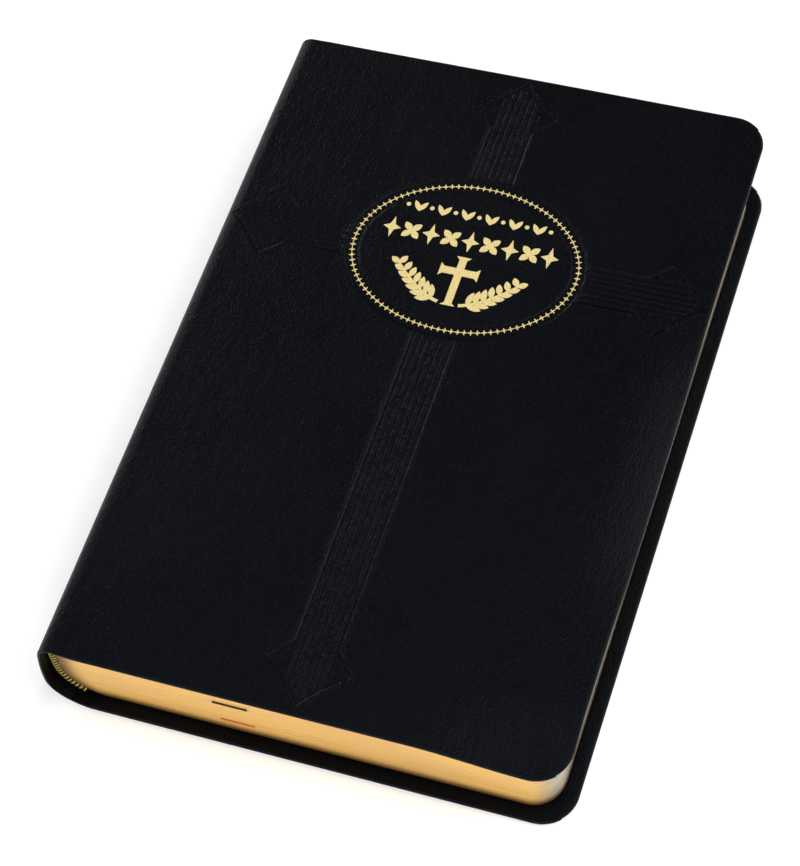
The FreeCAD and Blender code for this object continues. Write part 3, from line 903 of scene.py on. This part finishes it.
band_like("spine_mull", MULL, 0.4, 0.25)
band_like("spine_paper_lining", KRAFT, 0.7, 0.2)
band_like("tailband_tape", TAPE, 0.4, 0.25)
band_like("headband_tape", TAPE, 0.4, 0.25)

BEAD_REACH = 1.25
BEAD_OUT = 1.42
GOLD_STRIPE, DARK_STRIPE = 0.46, 0.99
ROUND_STEPS = 14


def headband(node_name):
    """Silk wound over a core: bulging stripes in two colours round a curved bead."""
    low, high = box_mm(node_name)
    middle_y, half_y = (low[1] + high[1]) / 2, (high[1] - low[1]) / 2
    line, outs = block_curve(BEAD_OUT, 4.2, 28.0, 0.1)
    steps = np.concatenate([[0], np.cumsum(np.hypot(*np.diff(line, axis=0).T))])
    pairs = int(steps[-1] / (GOLD_STRIPE + DARK_STRIPE))
    scale = steps[-1] / (pairs * (GOLD_STRIPE + DARK_STRIPE))
    verts, faces, slots = [], [], []
    at = 0.0
    for s in range(2 * pairs):
        width = (DARK_STRIPE, GOLD_STRIPE)[s % 2] * scale
        swell = (0.97, 1.0)[s % 2]
        for k, girth in ((0.0, 0.88), (0.25, 0.97), (0.5, 1.0), (0.75, 0.97), (1.0, 0.88)):
            here = at + k * width
            x, z = np.interp(here, steps, line[:, 0]), np.interp(here, steps, line[:, 1])
            ox, oz = np.interp(here, steps, outs[:, 0]), np.interp(here, steps, outs[:, 1])
            narrow = 1 - 0.35 * smooth((2.5 - here) / 2.5)
            for m in range(ROUND_STEPS):
                a = 2 * math.pi * m / ROUND_STEPS
                reach = BEAD_REACH * swell * girth * math.cos(a) * narrow
                side = half_y * swell * girth * math.sin(a)
                verts.append((x + ox * reach, middle_y + side, z + oz * reach))
        at += width
    rows = 10 * pairs
    for r in range(rows - 1):
        for m in range(ROUND_STEPS):
            o = (m + 1) % ROUND_STEPS
            a, b = r * ROUND_STEPS, (r + 1) * ROUND_STEPS
            faces.append((a + m, a + o, b + o, b + m))
            slots.append((r // 5) % 2)
    faces.append(tuple(range(ROUND_STEPS)))
    faces.append(tuple(range((rows - 1) * ROUND_STEPS, rows * ROUND_STEPS)))
    slots += [0, 0]
    obj = add_mesh(node_name + "_silk", verts, faces, BAND_DARK)
    obj.data.materials.append(BAND_GOLD)
    obj.data.polygons.foreach_set("material_index", slots)
    outward(obj)
    open_blend(obj, node_name)


headband("tailband_bead")
headband("headband_bead")


# ------------------------ ribbons
RIBBON_W = 10.9


def ribbon(node_name, material, tall):
    """A flat woven ribbon laid slantwise between the leaves, from the head to the tail."""
    low, high = box_mm(node_name)
    head_x, tail_x = low[0], high[0] - RIBBON_W
    ys = spread(low[1], high[1], 4.0)
    zs = (low[2], low[2] + tall)
    verts = []
    for y in ys:
        share = (y - low[1]) / (high[1] - low[1])
        x = tail_x + (head_x - tail_x) * share
        for z in zs:
            for k in (0.0, 0.03, 0.5, 0.97, 1.0):
                verts.append((x + RIBBON_W * k, y, z))
    faces = []
    for r in range(len(ys) - 1):
        a, b = r * 10, (r + 1) * 10
        for m in range(4):
            faces.append((a + m, a + m + 1, b + m + 1, b + m))
            faces.append((a + m + 5, b + m + 5, b + m + 6, a + m + 6))
        faces.append((a, b, b + 5, a + 5))
        faces.append((a + 4, a + 9, b + 9, b + 4))
    for a in (0, (len(ys) - 1) * 10):
        faces.append((a, a + 1, a + 2, a + 3, a + 4, a + 9, a + 8, a + 7, a + 6, a + 5))
    obj = add_mesh(node_name + "_satin", verts, faces, material, smooth_shading=False)
    outward(obj)
    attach(obj, "lower_block")
    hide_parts(node_name)
    return obj


ribbon("black_ribbon", BLACK, 0.46)
ribbon("red_ribbon", RED, 0.24)


# ------------------------ gold foil
FOIL_T = 0.07
FOIL_LIFT = 0.03


def foil_piece(name, outlines):
    """Flat foil shapes lying on the pressed cover; each outline is a list of plan points."""
    verts, faces = [], []
    for outline in outlines:
        points = np.array(outline, float)
        x, y = points[:, 0], points[:, 1]
        base = TOP + pressing(x, y) + front_droop(x, y) + FOIL_LIFT
        level = np.median(base)
        start, count = len(verts), len(points)
        for lift in (-0.12, FOIL_T):
            for px, py, z in zip(x, y, base):
                verts.append((px, py, 0.5 * (z + level) + lift))
        faces.append(tuple(range(start + count, start + 2 * count)))
        faces.append(tuple(range(start, start + count))[::-1])
        for m in range(count):
            o = (m + 1) % count
            faces.append((start + m, start + o, start + count + o, start + count + m))
    obj = add_mesh(name, verts, faces, FOIL, smooth_shading=False)
    outward(obj)
    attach(obj, "front_cover")
    return obj


def turned(points, degrees, x, y):
    c, s = math.cos(math.radians(degrees)), math.sin(math.radians(degrees))
    return [(x + (c * a - s * b), y + (s * a + c * b)) for a, b in points]


def small_cross(across, tall):
    """A cross with pointed, flared arms."""
    arm = ((0.17, 0.17), (0.20, 0.62), (0.0, 1.0), (-0.20, 0.62), (-0.17, 0.17))
    points = []
    for k in range(4):
        c, s = (1, 0, -1, 0)[k], (0, 1, 0, -1)[k]
        for a, b in arm[:-1]:
            px, py = c * a - s * b, s * a + c * b
            points.append((px * across / 2, py * tall / 2))
    return points


def chain():
    """Small crosses set point to point round the medallion."""
    a, b = MEDAL_CHAIN
    steps = 3600
    t = np.linspace(0, 2 * math.pi, steps + 1)
    run = np.concatenate([[0], np.cumsum(np.hypot(np.diff(a * np.cos(t)), np.diff(b * np.sin(t))))])
    count = int(round(run[-1] / 2.07))
    outlines = []
    for k in range(count):
        angle = np.interp((k + 0.5) * run[-1] / count, run, t)
        x, y = MEDAL_X + a * math.cos(angle), MEDAL_Y + b * math.sin(angle)
        facing = math.degrees(math.atan2(b * math.cos(angle), -a * math.sin(angle)))
        outlines.append(turned(small_cross(2.06, 2.0), facing, x, y))
    return outlines


def leaf_shape(length, width):
    """A leaf pointed at both ends, along +X."""
    points = []
    for t in np.linspace(0, 1, 8):
        points.append((length * t, width / 2 * math.sin(math.pi * t) ** 0.8))
    for t in np.linspace(1, 0, 8)[1:-1]:
        points.append((length * t, -width / 2 * math.sin(math.pi * t) ** 0.8))
    return points


def disc(radius, sides):
    return [(radius * math.cos(2 * math.pi * k / sides), radius * math.sin(2 * math.pi * k / sides))
            for k in range(sides)]


def band_shape(points, widths):
    """A stroke of changing width along a line of points."""
    points, widths = np.array(points, float), np.array(widths, float)
    d = np.gradient(points, axis=0)
    d = d / np.hypot(d[:, 0], d[:, 1])[:, None]
    side = np.stack([-d[:, 1], d[:, 0]], -1) * widths[:, None] / 2
    return [tuple(p) for p in points + side] + [tuple(p) for p in (points - side)[::-1]]


def ornament():
    """Three rows inside the medallion: a leafy row, a row of stars and flowers, and a cross
    between two curling sprays."""
    shapes = []
    for k in range(-9, 10):
        x, y = MEDAL_X + k * 2.62, MEDAL_Y + 16.0
        if k % 3 == 0:
            shapes.append(turned(disc(0.75, 12), 0, x, y))
            continue
        lean = 32 if k % 3 == 1 else -32
        shapes.append(turned(leaf_shape(4.6, 1.7), 90 + lean, x + 0.05 * lean, y - 2.0))
    star = [(-2.9, 0), (-0.85, 1.0), (0, 4.1), (0.85, 1.0), (2.9, 0), (0.85, -1.0), (0, -4.1),
            (-0.85, -1.0)]
    for k in range(-4, 5):
        x, y = MEDAL_X + k * 6.5, MEDAL_Y + 6.2
        if k % 2 == 0:
            shapes.append(turned(star, 0, x, y))
            continue
        for turn in range(4):
            shapes.append(turned(leaf_shape(3.9, 2.3), 45 + 90 * turn, x, y))
    cross = [(-1.25, -9.4), (-2.4, -10.4), (2.4, -10.4), (1.25, -9.4), (1.25, 1.2), (5.2, 1.2),
             (6.4, 0.1), (6.4, 4.9), (5.2, 3.8), (1.25, 3.8), (1.25, 7.1), (2.4, 8.3),
             (-2.4, 8.3), (-1.25, 7.1), (-1.25, 3.8), (-5.2, 3.8), (-6.4, 4.9), (-6.4, 0.1),
             (-5.2, 1.2), (-1.25, 1.2)]
    shapes.append(turned(cross, 0, MEDAL_X, MEDAL_Y - 8.2))
    ts = np.linspace(0, 1, 16)
    stem = [(3.4 + 17.0 * t, -9.0 + 1.2 * math.sin(2.4 * t) + 11.5 * t ** 1.8) for t in ts]
    spray = [band_shape(stem, 1.15 - 0.6 * ts)]
    for k in range(1, 8):
        sx, sy = stem[2 * k]
        for way in (-1, 1):
            spray.append(turned(leaf_shape(5.6 - 0.28 * k, 2.1), 26 + 7 * k + way * 44, sx, sy))
    for side in (-1, 1):
        for points in spray:
            shapes.append([(MEDAL_X + side * px, MEDAL_Y - 8.9 + py) for px, py in points][::side])
    return shapes


foil_piece("foil_cross_chain", chain())
foil_piece("foil_ornament", ornament())


# ------------------------ folded leaf at the opening
def centre_fold():
    """The fold of the leaf at the opening: it keeps the gutter closed when the book opens."""
    zs = np.concatenate([[2.6, 1.4, 0.7], np.linspace(0.45, -0.35, 17), [-0.6, -1.4, -2.4]])
    outer = np.stack([np.full(len(zs), BLOCK_BACK - 0.055), zs + OPEN_LEVEL], -1)
    outs = np.tile((-1.0, 0.0), (len(zs), 1))
    piece = curved_layer("centre_fold", outer, outs, 0.04, -BLOCK_HALF + 2.9, BLOCK_HALF - 2.9,
                         ENDPAPER)
    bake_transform(piece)
    return piece


centre_fold()


# ------------------------ sewing and spine inlay
STATIONS, STATION_STEP, THREAD_W, THREAD_T = 6, 36.0, 1.0, 0.28
LINK_LOW, LINK_HIGH = 20.0, 20.5


def sewing():
    """Stitches over the folds at six stations, joined by one running thread."""
    reach = STATION_STEP * (STATIONS - 1) / 2
    stitches = []
    for n in range(STATIONS):
        y = n * STATION_STEP - reach
        stitches.append(spine_band(f"stitch_{n + 1}", 0.06, THREAD_T, BAND_LOW, BAND_HIGH,
                                   y - THREAD_W / 2, y + THREAD_W / 2, THREAD))
    outer = np.array([(BLOCK_BACK - 0.06 - THREAD_T, z) for z in (LINK_HIGH, LINK_LOW)])
    stitches.append(curved_layer("running_thread", outer, np.array([(-1.0, 0.0)] * 2), THREAD_T,
                                 -reach, reach, THREAD))
    return stitches


for piece in sewing():
    open_blend(piece, "sewing_threads")

inlay_low, inlay_high = box_mm("spine_inlay")
INLAY_T = 0.4
inlay_qs = spread(1.0, BACK_RUN + FOOT_R * math.radians(20), 1.0)
ix, iz, _, inlay_out = spine_profile(inlay_qs)
inlay_outs = np.stack(inlay_out, -1)
inlay_points = np.stack([ix, iz], -1) - inlay_outs * (SKIN_T + 0.02)
open_blend(curved_layer("spine_inlay_card", inlay_points, inlay_outs, INLAY_T,
                        inlay_low[1], inlay_high[1], CARD), "spine_inlay")


# ------------------------ floor, light and camera
def floor():
    material, tree, shader = new_material("white_floor", rough=0.9, specular=0.1)
    shade = noise(tree, place(tree), 3.0)
    tree.links.new(ramp(tree, shade, [(0.3, (0.93, 0.93, 0.93)), (0.7, (0.95, 0.95, 0.95))]),
                   shader.inputs["Base Color"])
    # The floor glows faintly: painted light that lightens the shadows cast on it.
    shader.inputs["Emission Color"].default_value = (1, 1, 1, 1)
    shader.inputs["Emission Strength"].default_value = 0.12
    size = 6000.0
    corners = [(-size, -size), (size, -size), (size, size), (-size, size)]
    verts = [(x, y, -0.08) for x, y in corners]
    add_mesh("floor", verts, [(0, 1, 2, 3)], material, smooth_shading=False)


def light(name, kind, towards, strength):
    data = bpy.data.lights.new(name, kind)
    data.energy = strength
    obj = bpy.data.objects.new(name, data)
    bpy.context.scene.collection.objects.link(obj)
    obj.rotation_euler = Vector(towards).to_track_quat("-Z", "Y").to_euler()
    return obj


def lamp(name, position, size, power):
    """A rectangular soft light aimed at the middle of the scene."""
    obj = light(name, "AREA", -Vector(position), power)
    obj.location = position
    obj.data.shape = "RECTANGLE"
    obj.data.size, obj.data.size_y = size


def sun(name, towards, strength, spread_deg):
    light(name, "SUN", towards, strength).data.angle = math.radians(spread_deg)


def camera():
    """View from above the tail on the fore-edge side, with a slight roll."""
    data = bpy.data.cameras.new("camera")
    data.sensor_width = 36.0
    data.lens = 107.8
    data.clip_end = 50.0
    obj = bpy.data.objects.new("camera", data)
    bpy.context.scene.collection.objects.link(obj)
    obj.location = (0.1941, -0.3953, 0.6924)
    obj.rotation_euler = [math.radians(angle) for angle in (32.073, 5.814, 18.075)]
    bpy.context.scene.camera = obj


floor()
sun("wide_front_light", (-0.15, 0.86, -0.42), 2.5, 50)
sun("wide_side_light", (-0.80, -0.10, -0.60), 1.4, 60)
sun("wide_left_light", (0.80, 0.30, -0.55), 1.6, 70)
sun("wide_back_light", (-0.55, -0.65, -0.55), 1.2, 60)
lamp("overhead_strip", (0.18, 0.0, 1.22), (0.22, 0.14), 2.0)
lamp("soft_box_left", (-1.1, 1.0, 0.62), (0.5, 0.5), 5.0)
camera()
world = bpy.data.worlds.new("studio")
bpy.context.scene.world = world
world.use_nodes = True
world.node_tree.nodes["Background"].inputs["Color"].default_value = (0.92, 0.95, 1.0, 1)
world.node_tree.nodes["Background"].inputs["Strength"].default_value = 0.035
bpy.context.scene.view_settings.view_transform = "Standard"
